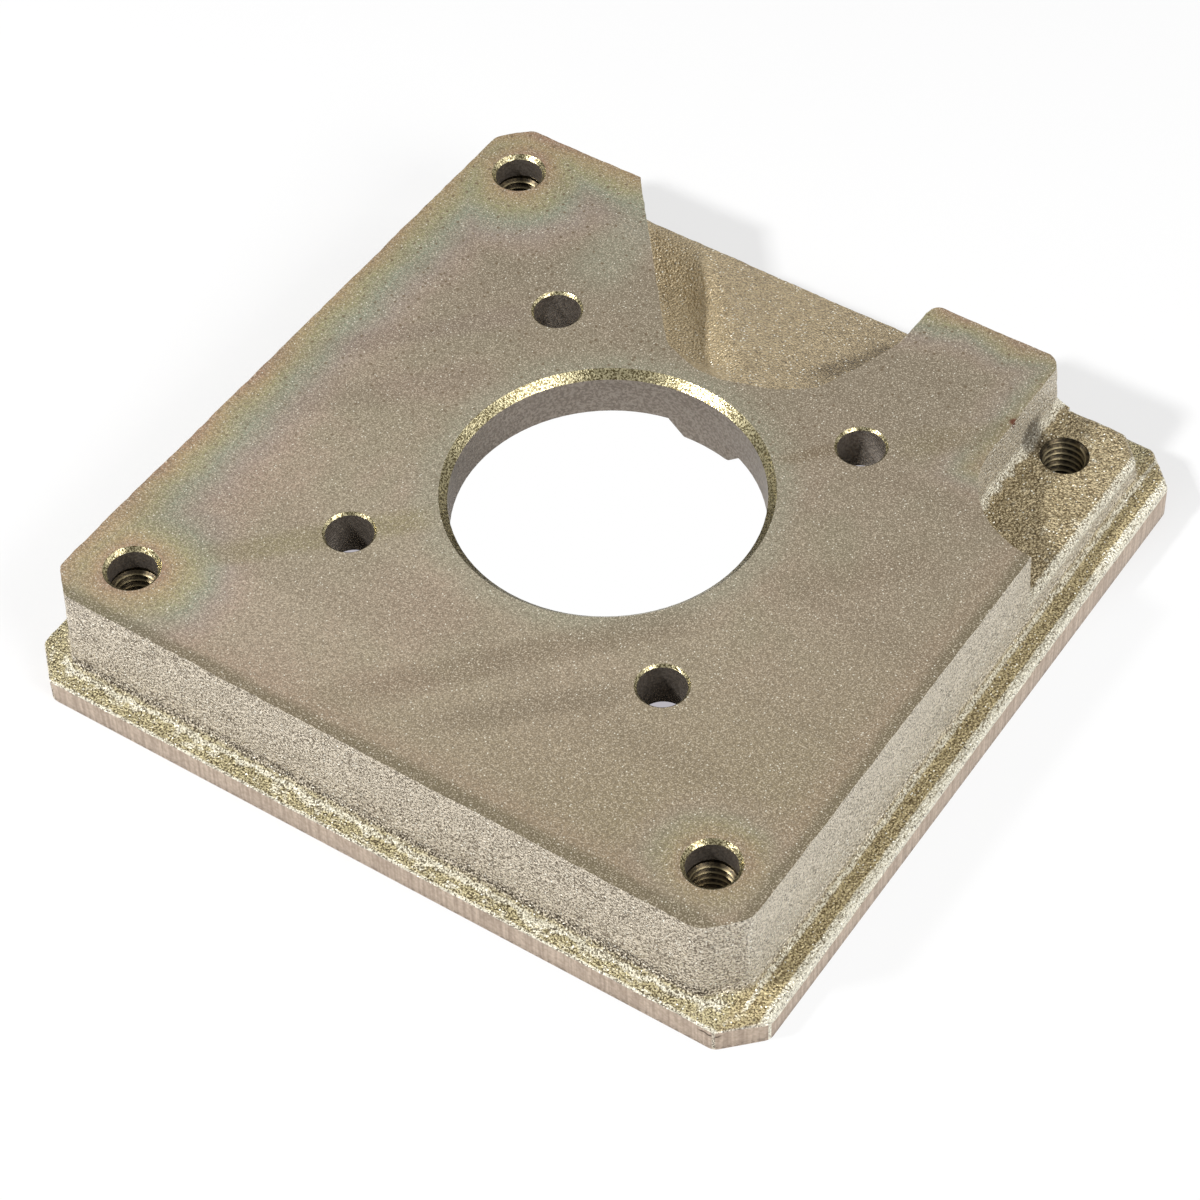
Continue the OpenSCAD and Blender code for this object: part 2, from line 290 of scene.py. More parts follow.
def milledTop():
    material, tree, shader = newMaterial("milledTop")
    plain = place(tree)
    x, y = axesOf(tree, plain)[:2]
    mottle = noisy(tree, plain, 45, 2, 0.6, 0.4)
    patches = noisy(tree, plain, 14, 2, 0.5, 0.3)
    wobble = times(tree, minus(tree, noisy(tree, plain, 90, 2, 0.6), 0.5), milled["wobble"] * mm)

    colour = mixed(tree, ranged(tree, mottle, 0.35, 0.68), rgb(*milled["warm"]), rgb(*milled["olive"]))
    colour = tint(tree, colour, milled["ground"], ranged(tree, patches, 0.35, 0.65, 0, 0.7))
    colour = tint(tree, colour, milled["front"], grade(tree, minus(tree, y, x), -135, -10, 0.95, 0))
    colour = tint(tree, colour, milled["far"], grade(tree, y, -60, 65, 0, 0.75))
    depth = filmDepth(tree, x, y, wobble)
    share = grade(tree, minus(tree, times(tree, y, 0.35), x), -65, 30, 0.25, 0.72)
    share = times(tree, share, grade(tree, depth, 10, 24, 1, 0.0))
    colour = mixed(tree, share, colour, filmColour(tree, depth))
    bore = plus(tree, minus(tree, fromAxis(tree, x, y), milled["boreIn"] * mm), wobble)
    colour = tint(tree, colour, milled["teal"], grade(tree, bore, 2, 9, 0.5, 0))
    colour = edgeLines(tree, colour, x, y, wobble)
    colour = bathRuns(tree, colour, wobble)

    # grain and pits, and painted glints as bright dots in the colour
    grain = noisy(tree, plain, 1500, 1, 0.8)
    fine = noisy(tree, plain, 3300, 1, 0.7)
    colour = tint(tree, colour, milled["streak"], ranged(tree, grain, 0.34, 0.66, 0.42, 0.0))
    colour = tint(tree, colour, milled["pale"], ranged(tree, fine, 0.50, 0.72, 0.0, 0.75))
    colour = tint(tree, colour, milled["streak"], ranged(tree, fine, 0.30, 0.46, 0.5, 0.0))
    upper = grade(tree, minus(tree, y, times(tree, x, 0.5)), -35, 45, 0.12, 0.8)
    pits = times(tree, dots(tree, plain, milled["pits"]), upper)
    colour = tint(tree, colour, milled["pit"], pits)
    chip = grade(tree, fromPoint(tree, plain, casting["chipAt"]), 0.9, 1.5, 0.9, 0)
    colour = tint(tree, colour, cast["chip"], chip)
    colour = tint(tree, colour, milled["paintedGlint"], dots(tree, plain, milled["paintedSparks"]))

    roughness = milled["roughness"]
    coat(tree, shader, colour, milled["metallic"], ranged(tree, grain, 0.3, 0.7, roughness - 0.08, roughness + 0.1))
    arcs = addNode(tree, "ShaderNodeTexWave", {"Vector": place(tree, (1, 1, 1), 0, milled["arcCentre"]),
                                               "Scale": milled["arcScale"], "Distortion": 0.6, "Detail": 1},
                   wave_type="RINGS", rings_direction="Z").outputs["Fac"]
    height = plus(tree, times(tree, arcs, 0.25), grain)
    setBump(tree, shader, minus(tree, height, times(tree, pits, 1.2)), 0.5, 0.06)
    return material


cast = {
    # each part's dark and pale grains, and the range of the grain between them
    "wall": ((126, 114, 98), (220, 209, 190), (0.39, 0.55)), "inner": ((128, 112, 84), (190, 172, 138), (0.36, 0.62)),
    "outer": ((84, 72, 46), (198, 187, 148), (0.39, 0.57)), "gold": ((112, 96, 64), (196, 180, 138), (0.38, 0.60)),
    # pale paints a sheen on walls facing right, line paints highlights on roundings and fillets, the brow colour
    # paints light on the pocket's left wall, rough paints shade on the pocket's right wall, glint paints glints, and
    # foot also paints shade in the fillet at the wall's foot
    "pale": (236, 234, 220), "chip": (112, 62, 44), "foot": (66, 56, 42), "paintedGlint": (255, 253, 240),
    "line": (240, 235, 216), "rough": (84, 70, 48), "paintedBrowLight": (224, 206, 168), "speck": (76, 66, 52),
    "marks": (("chipAt", 0.9, "chip", 0.9), ("smudgeAt", 5.0, "foot", 0.7)),      # place, radius, colour and amount
    "specks": {"scale": 1100, "size": 0.12, "soft": 0.18, "channel": 1, "picked": (0.86, 0.9)},
    # bright dots of painted glints
    "paintedSparks": {"scale": 1500, "size": 0.16, "soft": 0.16, "channel": 0, "picked": (0.66, 0.8)},
    "beadScale": 1900, "grainScale": 2700, "softScale": 260, "shiftScale": 420, "shift": 0.9,
    "roughness": 0.42, "metallic": 0.4,
}


def grained(tree, pepper, part):
    dark, pale, reach = cast[part]
    return mixed(tree, ranged(tree, pepper, *reach), rgb(*dark), rgb(*pale))


# painted shade as a dark band on the pocket's right wall, over its rough grain; a painted highlight along the top of
# the pocket's left wall, and painted light that lifts the left wall's cast shadow on the pocket floor
def pocketTones(tree, colour, x, y, pepper):
    # painted shade on the pocket's right wall
    band = casting["paintedShadeBand"]
    along, across = axesOf(tree, place(tree, (1, 1, 1), radians(-band["turn"])))[:2]
    paintedShade = streak(tree, along, times(tree, across, -1), band["at"], band["width"], band["start"], band["end"])
    paintedShade = times(tree, paintedShade, ranged(tree, pepper, 0.40, 0.58, 0.9, 0.3))
    colour = tint(tree, colour, cast["rough"], paintedShade)
    lean, wallAt = radians(casting["pocket"]["lean"]), casting["pocket"]["wallAt"]
    away = plus(tree, times(tree, x, cos(lean)), times(tree, y, sin(lean)))
    # a painted highlight along the top of the left wall
    paintedBrowLight = times(tree, grade(tree, away, wallAt - 1, wallAt + 3, 1, 0), ranged(tree, pepper, 0.42, 0.56, 0.25, 0.9))
    # painted light over the left wall's cast shadow on the floor
    paintedBrowLight = larger(tree, paintedBrowLight, grade(tree, away, wallAt + 10, wallAt + 14, 0.22, 0))
    return tint(tree, colour, cast["paintedBrowLight"], times(tree, paintedBrowLight, grade(tree, x, 2, 10, 1, 0)))


# the pocket and the step are browner than the walls and the lip round the pad; upright faces take the paler wall
# colour, partly the skin's own tone and partly a painted reflection of the pale floor
def castTones(tree, x, y, z, facing, pepper):
    wall, outer, inner = (grained(tree, pepper, part) for part in ("wall", "outer", "inner"))
    # a painted sheen on walls that face right
    wall = tint(tree, wall, cast["pale"], ranged(tree, facing[0], 0.6, 0.95, 0, 0.18))
    inner = mixed(tree, grade(tree, x, 40, 45, 0, 0.3), inner, outer)
    dim = times(tree, grade(tree, x, 42, 48), ranged(tree, pepper, 0.44, 0.56, 0.62, 0.0))
    inner = tint(tree, inner, cast["gold"][0], dim)
    stepSide = times(tree, grade(tree, x, 40, 45), ranged(tree, facing[2], 0.3, 0.8, 0.75, 0))
    inner = mixed(tree, stepSide, inner, wall)
    inner = pocketTones(tree, inner, x, y, pepper)
    outer = mixed(tree, grade(tree, x, 74, 76, 0, 0.85), outer, grained(tree, pepper, "gold"))
    colour = mixed(tree, ranged(tree, facing[2], 0.25, 0.85), wall, outer)
    within = times(tree, grade(tree, y, 20, 30), grade(tree, x, 76.5, 75))
    within = times(tree, within, grade(tree, z, 8, 9))
    return mixed(tree, times(tree, within, grade(tree, x, -56, -44)), colour, inner)


def castEdges(tree, colour, x, y, z, pepper, shift):
    level, outX = plus(tree, z, shift), plus(tree, x, times(tree, shift, 0.7))
    front = grade(tree, y, -76, -74.5, 1, 0)
    right = times(tree, grade(tree, x, 75.5, 76.5), grade(tree, y, -76, -74))
    # at the wall's foot, painted shade as dark specks over a painted highlight line, and a painted highlight on the
    # burr of the base's near edge
    foot = times(tree, ridge(tree, level, 6.5, 7.1, 7.6, 9.6), front)
    foot = times(tree, foot, ranged(tree, pepper, 0.44, 0.56, 0.9, 0.15))
    colour = tint(tree, colour, cast["foot"], foot)
    burr = times(tree, grade(tree, plus(tree, y, shift), -81.0, -80.8, 1, 0), grade(tree, z, 4.7, 5.0))
    line = times(tree, larger(tree, ridge(tree, level, 5.62, 5.8, 6.1, 6.5), burr), front)
    # painted highlights: bright lines in the fillet and along the brim of the right lip
    filletHighlight = times(tree, ridge(tree, outX, 76.5, 76.9, 77.2, 77.7), grade(tree, z, 8.6, 9.2, 1, 0))
    line = larger(tree, line, times(tree, filletHighlight, right))
    brimHighlight = times(tree, grade(tree, outX, 80.2, 80.8), right)
    brimHighlight = times(tree, brimHighlight, ranged(tree, pepper, 0.38, 0.50, 0.2, 0.95))
    # painted highlights where the step's outer rounding and the fillets in the step catch the light as well
    stepEdge = times(tree, grade(tree, plus(tree, x, shift), 74.3, 74.9), grade(tree, z, 11.0, 11.8))
    stepEdge = times(tree, stepEdge, grade(tree, z, 14.0, 14.4, 1, 0))
    stepFoot = times(tree, ridge(tree, level, 13.3, 13.6, 14.6, 16.6), grade(tree, x, 44, 46))
    line = larger(tree, line, times(tree, larger(tree, stepEdge, stepFoot), grade(tree, y, 25, 30)))
    line = times(tree, line, ranged(tree, pepper, 0.42, 0.54, 0.12, 0.85))
    # lays the painted highlights on the colour
    return tint(tree, colour, cast["line"], larger(tree, line, brimHighlight))


def castSkin():
    material, tree, shader = newMaterial("castSkin")
    plain = place(tree)
    x, y, z = axesOf(tree, plain)
    facing = axesOf(tree, addNode(tree, "ShaderNodeNewGeometry").outputs["Normal"])
    grain = noisy(tree, plain, cast["grainScale"], 1, 0.7)
    soft = noisy(tree, plain, cast["softScale"], 1, 0.6)
    pepper = plus(tree, times(tree, grain, 0.9), times(tree, soft, 0.1))
    shift = times(tree, minus(tree, noisy(tree, plain, cast["shiftScale"], 1, 0.5), 0.5), cast["shift"] * mm)
    colour = castTones(tree, x, y, z, facing, pepper)
    colour = castEdges(tree, colour, x, y, z, pepper, shift)
    colour = tint(tree, colour, cast["speck"], dots(tree, plain, cast["specks"]))
    for at, radius, shade, amount in cast["marks"]:
        off = plus(tree, fromPoint(tree, plain, casting[at]), shift)
        colour = tint(tree, colour, cast[shade], grade(tree, off, 0.5 * radius, radius, amount, 0))
    # painted glints as bright dots in the colour
    colour = tint(tree, colour, cast["paintedGlint"], dots(tree, plain, cast["paintedSparks"]))
    roughness = cast["roughness"]
    coat(tree, shader, colour, cast["metallic"], ranged(tree, grain, 0.3, 0.7, roughness - 0.14, roughness + 0.10))
    beads = addNode(tree, "ShaderNodeTexVoronoi", {"Vector": plain, "Scale": cast["beadScale"]}).outputs["Distance"]
    height = minus(tree, times(tree, soft, 1.6), times(tree, beads, 1.5))
    setBump(tree, shader, plus(tree, height, times(tree, grain, 0.5)), 0.9, 0.34)
    return material


sawn = {
    "dark": (176, 158, 142), "pale": (206, 188, 170), "grime": (130, 112, 92), "low": (84, 70, 54),
    "crack": (70, 56, 44), "crackLevel": 4.0, "crackBend": 1.6, "metallic": 0.7, "roughness": 0.45,
}


def sawnSide():
    material, tree, shader = newMaterial("sawnSide")
    x, y, z = axesOf(tree, place(tree))
    lines = noisy(tree, place(tree, (1500, 1500, 60)), 1, 1, 0.6)
    grain = noisy(tree, place(tree), 1300, 1, 0.7)
    colour = mixed(tree, ranged(tree, lines, 0.3, 0.7), rgb(*sawn["dark"]), rgb(*sawn["pale"]))
    colour = tint(tree, colour, sawn["grime"], ranged(tree, grain, 0.3, 0.7, 0, 0.35))
    low = times(tree, grade(tree, z, 0.3, 1.8, 1, 0), ranged(tree, grain, 0.44, 0.52, 0.55, 0))
    colour = tint(tree, colour, sawn["low"], low)
    # a crack in the near side, close to the right corner
    bend = times(tree, minus(tree, noisy(tree, place(tree), 500, 1, 0.5), 0.5), sawn["crackBend"] * mm)
    crack = unsigned(tree, minus(tree, plus(tree, z, bend), sawn["crackLevel"] * mm))
    crack = times(tree, grade(tree, crack, 0.14, 0.34, 0.9, 0), grade(tree, x, 71.5, 72.5))
    crack = times(tree, crack, grade(tree, y, -81, -80, 1, 0))
    colour = tint(tree, colour, sawn["crack"], times(tree, crack, grade(tree, x, 76, 77.5, 1, 0)))
    coat(tree, shader, colour, sawn["metallic"], sawn["roughness"])
    setBump(tree, shader, plus(tree, lines, times(tree, grain, 0.5)), 0.6, 0.12)
    return material


bored = {"dark": (134, 124, 114), "pale": (164, 154, 143), "metallic": 0.8, "roughness": 0.38}
bright = {"dark": (92, 82, 54), "pale": (204, 194, 156), "metallic": 0.9, "roughness": 0.3}
tapped = {"dark": (34, 29, 22), "pale": (78, 68, 50), "crest": (128, 117, 90), "metallic": 0.85, "roughness": 0.36}


def turnedBore():
    material, tree, shader = newMaterial("turnedBore")
    grain = noisy(tree, place(tree), 1700, 1, 0.7)
    rings = noisy(tree, place(tree, (60, 60, 2500)), 1, 2, 0.5)
    colour = mixed(tree, ranged(tree, grain, 0.35, 0.65), rgb(*bored["dark"]), rgb(*bored["pale"]))
    coat(tree, shader, colour, bored["metallic"], bored["roughness"])
    setBump(tree, shader, plus(tree, rings, grain), 0.4, 0.08)
    return material


def brightCut():
    material, tree, shader = newMaterial("brightCut")
    grain = noisy(tree, place(tree), 2700, 1, 0.7)
    colour = mixed(tree, ranged(tree, grain, 0.36, 0.66), rgb(*bright["dark"]), rgb(*bright["pale"]))
    nick = grade(tree, fromPoint(tree, place(tree), casting["nickAt"]), 0.6, 1.4, 0.85, 0)
    colour = tint(tree, colour, cast["foot"], nick)
    coat(tree, shader, colour, bright["metallic"], bright["roughness"])
    setBump(tree, shader, grain, 0.5, 0.1)
    return material


def threadSteel():
    material, tree, shader = newMaterial("threadSteel")
    grain = noisy(tree, place(tree), 1600, 2, 0.6)
    offsets = [minus(tree, unsigned(tree, v), casting["tappedAt"] * mm) for v in axesOf(tree, place(tree))[:2]]
    colour = mixed(tree, ranged(tree, grain, 0.3, 0.7), rgb(*tapped["dark"]), rgb(*tapped["pale"]))
    # painted highlights on the thread's crests
    colour = tint(tree, colour, tapped["crest"], grade(tree, fromAxis(tree, *offsets), 4.05, 4.35, 0.9, 0))
    coat(tree, shader, colour, tapped["metallic"], tapped["roughness"])
    setBump(tree, shader, grain, 0.3, 0.05)
    return material


print("finishes")
finishes = [milledTop(), castSkin(), sawnSide(), turnedBore(), brightCut(), threadSteel()]
topZone, castZone, sideZone, boreZone, brightZone, threadZone = range(6)


# how far a place is inside the base's outline, mm
def baseInset(x, y):
    dx = casting["baseHalf"][0] - abs(x - casting["baseMiddle"][0])
    dy = casting["baseHalf"][1] - abs(y - casting["baseMiddle"][1])
    return min(dx, dy, (dx + dy - casting["baseCut"]) / 2 ** 0.5)


# a face's finish follows from its place and its slope
def zoneOf(face):
    zones = casting["zones"]
    x, y, z = face.calc_center_median() / mm
    up = face.normal.z
    upright, flat = abs(up) < zones["upright"], up > zones["flat"]
    if z > casting["topLevel"] - zones["touch"] and flat:
        return topZone
    if hypot(x, y) < casting["boreRadius"] + zones["chamfer"] and z > zones["boreAbove"]:
        return boreZone if upright else (brightZone if up > zones["upright"] else castZone)
    at = casting["plainAt"]
    if hypot(abs(x) - at, abs(y) - at) < zones["plainReach"] and z > zones["plainAbove"]:
        return boreZone if upright else brightZone
    at = casting["tappedAt"]
    if hypot(abs(x) - at, abs(y) - at) < zones["tappedReach"] and not (flat and z < zones["stepBelow"]):
        return boreZone if upright else brightZone
    if upright and z < zones["sideBelow"] and baseInset(x, y) < zones["sideInset"]:
        return sideZone
    return sideZone if z < zones["touch"] else castZone


def eased(low, high, value):
    t = min(max((value - low) / (high - low), 0), 1)
    return t * t * (3 - 2 * t)


# the underside keeps the frame's plain shape
def hidden(p):
    hollow = casting["hollow"]
    half = casting["padHalf"] - hollow["wall"]
    return abs(p.x) < half and abs(p.y) < half and baseInset(p.x, p.y) > hollow["inset"] and p.z < hollow["top"]


# cuts faces by level planes, halving the stack of planes each time
def cutLayers(bm, faces, axis, levels):
    if not levels or not faces:
        return
    half = len(levels) // 2
    where, way = Vector(), Vector()
    where[axis], way[axis] = levels[half], 1
    edges = {e for f in faces for e in f.edges}
    verts = {v for e in edges for v in e.verts}
    cut = bmesh.ops.bisect_plane(bm, geom=faces + list(edges) + list(verts), dist=1e-7, plane_co=where, plane_no=way)
    parts = [f for f in cut["geom"] if isinstance(f, bmesh.types.BMFace)]
    below = [f for f in parts if f.calc_center_median()[axis] < levels[half]]
    above = [f for f in parts if f.calc_center_median()[axis] >= levels[half]]
    cutLayers(bm, below, axis, levels[:half])
    cutLayers(bm, above, axis, levels[half + 1:])


# cuts the cast skin into squares small enough to carry the sand's shape
def refine(bm):
    skin = casting["skin"]
    step = skin["step"] * mm
    for axis in range(3):
        faces = [f for f in bm.faces if f.material_index == castZone and not hidden(f.calc_center_median() / mm)]
        count = int((cadHigh[axis] - cadLow[axis]) / step)
        levels = [cadLow[axis] + (i + skin["start"]) * step for i in range(count)]
        if axis < 2:
            levels += [cadLow[axis] + inset * mm for inset in skin["low"]]
            levels += [cadHigh[axis] - inset * mm for inset in skin["high"]]
        cutLayers(bm, faces, axis, sorted(levels))


def makeCasting():
    bm = bmesh.new()
    bm.from_mesh(frame["nodes"]["mounting_bracket"].data)
    bmesh.ops.remove_doubles(bm, verts=bm.verts, dist=1e-5)
    bmesh.ops.dissolve_limit(bm, angle_limit=radians(0.3), verts=bm.verts, edges=bm.edges)
    bm.normal_update()
    at, opened = casting["tappedAt"], casting["opened"]
    for vert in bm.verts:
        x, y = (vert.co / mm).xy
        cx, cy = (at if x > 0 else -at), (at if y > 0 else -at)
        r = hypot(x - cx, y - cy)
        if r < opened["within"]:
            k = opened["radius"] / r
            vert.co.x, vert.co.y = (cx + (x - cx) * k) * mm, (cy + (y - cy) * k) * mm
    for face in bm.faces:
        face.material_index = zoneOf(face)
        face.smooth = True
    print("faces before refining", len(bm.faces))
    refine(bm)
    print("faces after refining", len(bm.faces))
    bm.normal_update()
    return bm


# the base's outer edge has one rounding in the solid: here it is nearly sharp at the front and wide at the right
def reshapeEdge(bm):
    middle, half, edge = casting["baseMiddle"], casting["baseHalf"], casting["edge"]
    top, radius = casting["baseTop"], edge["radius"]
    outward = {"left": (-1, 0), "right": (1, 0), "near": (0, -1), "far": (0, 1)}
    for vert in bm.verts:
        x, y, z = vert.co / mm
        if not top - radius - edge["below"] < z < top + edge["above"]:
            continue
        insets = {"left": x - middle[0] + half[0], "right": half[0] - x + middle[0],
                  "near": y - middle[1] + half[1], "far": half[1] - y + middle[1]}
        sx, sy = (1 if x > middle[0] else -1), (1 if y > middle[1] else -1)
        ways = dict(outward, corner=(sx * 0.7071, sy * 0.7071))
        insets["corner"] = (min(insets["left"], insets["right"]) + min(insets["near"], insets["far"])
                            - casting["baseCut"]) / 2 ** 0.5
        side = min(insets, key=insets.get)
        inset = max(insets[side], 0)
        if inset > 2 * radius:
            continue
        weights = {name: exp(-(value - insets[side]) / edge["blend"]) for name, value in insets.items()}
        share = sum(weights[name] * edge["shares"][name] for name in insets) / sum(weights.values())
        step = (1 - share) * min(inset, radius, 2 * radius - inset)
        vert.co.x += ways[side][0] * step * mm
        vert.co.y += ways[side][1] * step * mm
        vert.co.z = (top - (top - z) * share) * mm


# the pocket keeps more of its depth along the left wall
def deepenPocket(bm):
    pocket, top = casting["pocket"], casting["topLevel"]
    lean = radians(pocket["lean"])
    for vert in bm.verts:
        x, y, z = vert.co / mm
        inside = pocket["left"] < x < pocket["right"] and pocket["start"] < y < pocket["end"]
        if not (inside and pocket["above"] < z < top - 0.01) or vert.normal.z < -0.1:
            continue
        away = x * cos(lean) + y * sin(lean) - pocket["wallAt"]
        if away < -pocket["margin"] or any(f.material_index != castZone for f in vert.link_faces):
            continue
        share = (1 - eased(*pocket["fades"], away)) * (1 - eased(*pocket["fadesOut"], y))
        vert.co.z -= pocket["deeper"] * share * min(1, (top - z) / pocket["shallow"]) * mm


# the solid has a slot, 1 mm high, under the foot of the step's curved wall: its ceiling comes down to the floor
def closeSlot(bm):
    slot = casting["slot"]
    for vert in bm.verts:
        x, y, z = vert.co / mm
        if x < slot["left"] or y < slot["near"] or abs(z - slot["ceiling"]) > slot["within"]:
            continue
        if baseInset(x, y) >= slot["inset"] and any(f.normal.z < -0.9 for f in vert.link_faces):
            vert.co.z = slot["down"] * mm


def summed(amounts, waves):
    return sum(amount * wave for amount, wave in zip(amounts, waves))


# gives the cast skin the sand's shape, and keeps the machined faces where they are
def roughen(bm):
    sand = casting["sand"]
    moves = []
    for vert in bm.verts:
        zones = {f.material_index for f in vert.link_faces}
        p = vert.co / mm
        if castZone not in zones or hidden(p):
            continue
        waves = [noise.noise(p / size + Vector(shift)) for size, shift in sand["waves"]]
        if topZone in zones:
            way = Vector((vert.normal.x, vert.normal.y, 0))
            if way.length > 0.05:
                moves.append((vert, way.normalized() * (summed(sand["padEdge"], waves) - sand["padEdgeIn"])))
        elif sideZone in zones:
            if p.z > 1:
                moves.append((vert, Vector((0, 0, summed(sand["baseEdge"], waves)))))
            else:
                moves.append((vert, Vector()))
        elif not zones & {boreZone, brightZone}:
            lip = p.z < sand["lipBelow"] and baseInset(p.x, p.y) < sand["lipInset"]
            amount = (summed(sand["face"], waves) - sand["faceIn"]) * (sand["lipMore"] if lip else 1)
            moves.append((vert, vert.normal * amount))
    for vert, way in moves:
        vert.co += way * mm
        for axis in range(3):      # stays in the solid's box
            vert.co[axis] = min(max(vert.co[axis], cadLow[axis]), cadHigh[axis])


def finishPiece(name, bm, sharpAngle):
    bm.normal_update()
    for edge in bm.edges:      # sharp where machined faces end, soft over the sand
        zones = {f.material_index for f in edge.link_faces}
        soft = len(zones) < 2 or zones == {castZone, sideZone}
        edge.smooth = soft and edge.calc_face_angle(pi) < radians(sharpAngle)
    mesh = bpy.data.meshes.new(name)
    bm.to_mesh(mesh)
    bm.free()
    piece = bpy.data.objects.new(name, mesh)
    scene.collection.objects.link(piece)
    for material in finishes:
        mesh.materials.append(material)
    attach(piece, "root")
    return piece


print("casting")
body = makeCasting()
closeSlot(body)
reshapeEdge(body)
body.normal_update()
deepenPocket(body)
body.normal_update()
roughen(body)
castingPiece = finishPiece("castingSkin", body, casting["sharpAngle"])
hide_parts("mounting_bracket")


thread = {      # mm; the profile is places in one pitch, each at the root's or the crest's radius
    "pitch": 1.5875, "crest": 4.0, "root": 4.74, "outer": 4.81, "steps": 48, "leadIn": 0.8, "foot": 0.02,
    "profile": ((0.0, "root"), (0.12, "root"), (0.5, "crest"), (0.62, "crest")), "sharpAngle": 28,
    # the sides on which each hole lies, and the level where its thread ends
    "holes": {"threadLeft": (-1, -1, 20.28), "threadFront": (1, -1, 20.28),
              "threadBack": (-1, 1, 20.28), "threadStep": (1, 1, 13.16)},
}


def widen(vert, radius):
    k = radius / hypot(vert.co.x, vert.co.y)
    vert.co.x *= k
    vert.co.y *= k


def cutThread(name, x, y, top):
    bm = bmesh.new()
    pitch, steps, foot = thread["pitch"], thread["steps"], thread["foot"]
    profile = [bm.verts.new((thread[r], 0, (turn + share) * pitch))
               for turn in range(-2, int(top / pitch) + 2) for share, r in thread["profile"]]
    line = [bm.edges.new(pair) for pair in zip(profile, profile[1:])]
    bmesh.ops.spin(bm, geom=profile + line, cent=(0, 0, 0), axis=(0, 0, 1), dvec=(0, 0, pitch / steps),
                   angle=2 * pi, steps=steps, use_merge=False)
    bmesh.ops.remove_doubles(bm, verts=bm.verts, dist=0.002)
    for level, way in ((top, 1), (foot, -1)):
        bmesh.ops.bisect_plane(bm, geom=list(bm.verts) + list(bm.edges) + list(bm.faces), dist=1e-5,
                               plane_co=(0, 0, level), plane_no=(0, 0, way), clear_outer=True)
    for vert in bm.verts:      # the lead-in at both mouths
        deep = max(0, min(top - vert.co.z, vert.co.z - foot))
        least = thread["root"] - deep * (thread["root"] - thread["crest"]) / thread["leadIn"]
        if hypot(vert.co.x, vert.co.y) < least:
            widen(vert, least)
    # a closed sleeve: out at both ends and down the outside
    for level in (foot, top):
        rim = [e for e in bm.edges if e.is_boundary and all(abs(v.co.z - level) < 1e-3 for v in e.verts)]
        grown = bmesh.ops.extrude_edge_only(bm, edges=rim)["geom"]
        for vert in (v for v in grown if isinstance(v, bmesh.types.BMVert)):
            widen(vert, thread["outer"])
    bmesh.ops.remove_doubles(bm, verts=bm.verts, dist=1e-4)
    bmesh.ops.bridge_loops(bm, edges=[e for e in bm.edges if e.is_boundary])
    bmesh.ops.recalc_face_normals(bm, faces=bm.faces)
    for face in bm.faces:
        face.material_index = threadZone
        face.smooth = True
    bmesh.ops.transform(bm, matrix=Matrix.Translation((x * mm, y * mm, 0)) @ Matrix.Scale(mm, 4), verts=bm.verts)
    print(name, "faces", len(bm.faces))
    return finishPiece(name, bm, thread["sharpAngle"])


print("threads")
for name, (sideX, sideY, top) in thread["holes"].items():
    cutThread(name, sideX * casting["tappedAt"], sideY * casting["tappedAt"], top)


studio = {
    # hollow is the painted shade of the ground under the casting; seenGlow is how much of the floor's glow the camera
    # sees, painted light that washes out the shadows at the right
    "floorSize": 3.0, "white": (216, 216, 216), "hollow": (186, 182, 188), "seenGlow": (0.52, 0.88),
    "hollowEdge": (77, 79.5), "litAt": (-8, 12), "litReach": (41, 45),      # mm
    "boxes": {      # towards each softbox, power, size and distance
        "keyBox": ((-0.44, -0.57, 0.69), 15.0, 0.11, 1.25),
        "sideBox": ((0.79, -0.14, 0.59), 6.0, 0.5, 1.1),
        "backBox": ((0.55, 0.54, 0.64), 2.4, 0.4, 1.1)},
    "worldLow": 0.34, "worldHigh": 0.60, "highWay": (-0.376, 0.536, 0.755),
}


def mixShaders(tree, share, first, second, outputKind):
    both = addNode(tree, "ShaderNodeMixShader", {0: share, 1: first.outputs[0], 2: second.outputs[0]})
    addNode(tree, outputKind, {0: both.outputs[0]})


